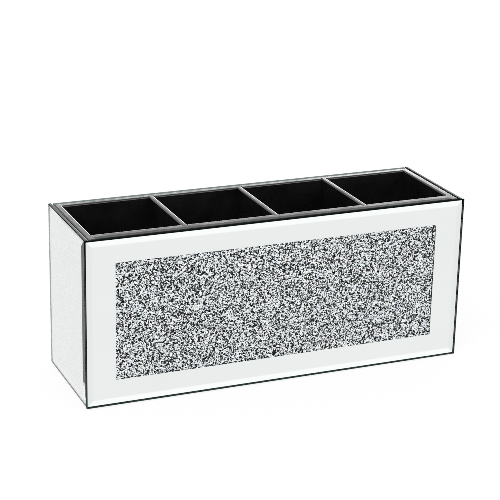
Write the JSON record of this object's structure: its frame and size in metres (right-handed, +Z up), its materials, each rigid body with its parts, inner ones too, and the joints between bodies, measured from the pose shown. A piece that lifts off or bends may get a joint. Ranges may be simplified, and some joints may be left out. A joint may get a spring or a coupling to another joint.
{
  "type": "makeup brush holder",
  "caption": "Open-topped box of bevelled mirror glass over black boards, with a crushed-crystal window in its front, which stores makeup brushes upright between lift-out dividers.",
  "frame": {"origin": "middle of the underside, on the surface that it stands on", "axes": "+X along the width to the viewer's right, -Y out of the crystal front, +Z up"},
  "size_m": [0.26, 0.08, 0.1105],
  "materials": {
    "black_board": "satin black film on fibreboard",
    "clear_glass": "polished, bevelled",
    "silver_mirror": "silvered",
    "foam_tape": "foam tape",
    "dark_resin": "set resin",
    "crystal": "crushed, faceted",
    "black_velvet": "short-pile velvet",
    "black_felt": "pressed felt",
    "brad_steel": "bright drawn wire"
  },
  "bodies": {
    "box": {"base_board": "black_board", "front_board": "black_board", "back_board": "black_board", "left_board": "black_board", "right_board": "black_board", "window_rail_top": "black_board", "window_rail_bottom": "black_board", "window_rail_left": "black_board", "window_rail_right": "black_board", "front_glass": "clear_glass", "back_glass": "clear_glass", "left_glass": "clear_glass", "right_glass": "clear_glass", "front_silvering": "silver_mirror", "back_silvering": "silver_mirror", "left_silvering": "silver_mirror", "right_silvering": "silver_mirror", "front_tape": "foam_tape", "back_tape": "foam_tape", "left_tape": "foam_tape", "right_tape": "foam_tape", "crystal_bed": "dark_resin", "crushed_crystals": "crystal", "floor_lining": "black_velvet", "base_felt": "black_felt", "carcass_brads": "brad_steel"},
    "divider_left": {"divider_left": "black_board"},
    "divider_middle": {"divider_middle": "black_board"},
    "divider_right": {"divider_right": "black_board"}
  },
  "joints": [
    {"name": "divider_left_lift", "type": "slide", "parent": "box", "child": "divider_left", "axis": [0, 0, 1], "range_m": [0, 0.106]},
    {"name": "divider_middle_lift", "type": "slide", "parent": "box", "child": "divider_middle", "axis": [0, 0, 1], "range_m": [0, 0.106]},
    {"name": "divider_right_lift", "type": "slide", "parent": "box", "child": "divider_right", "axis": [0, 0, 1], "range_m": [0, 0.106]}
  ]
}
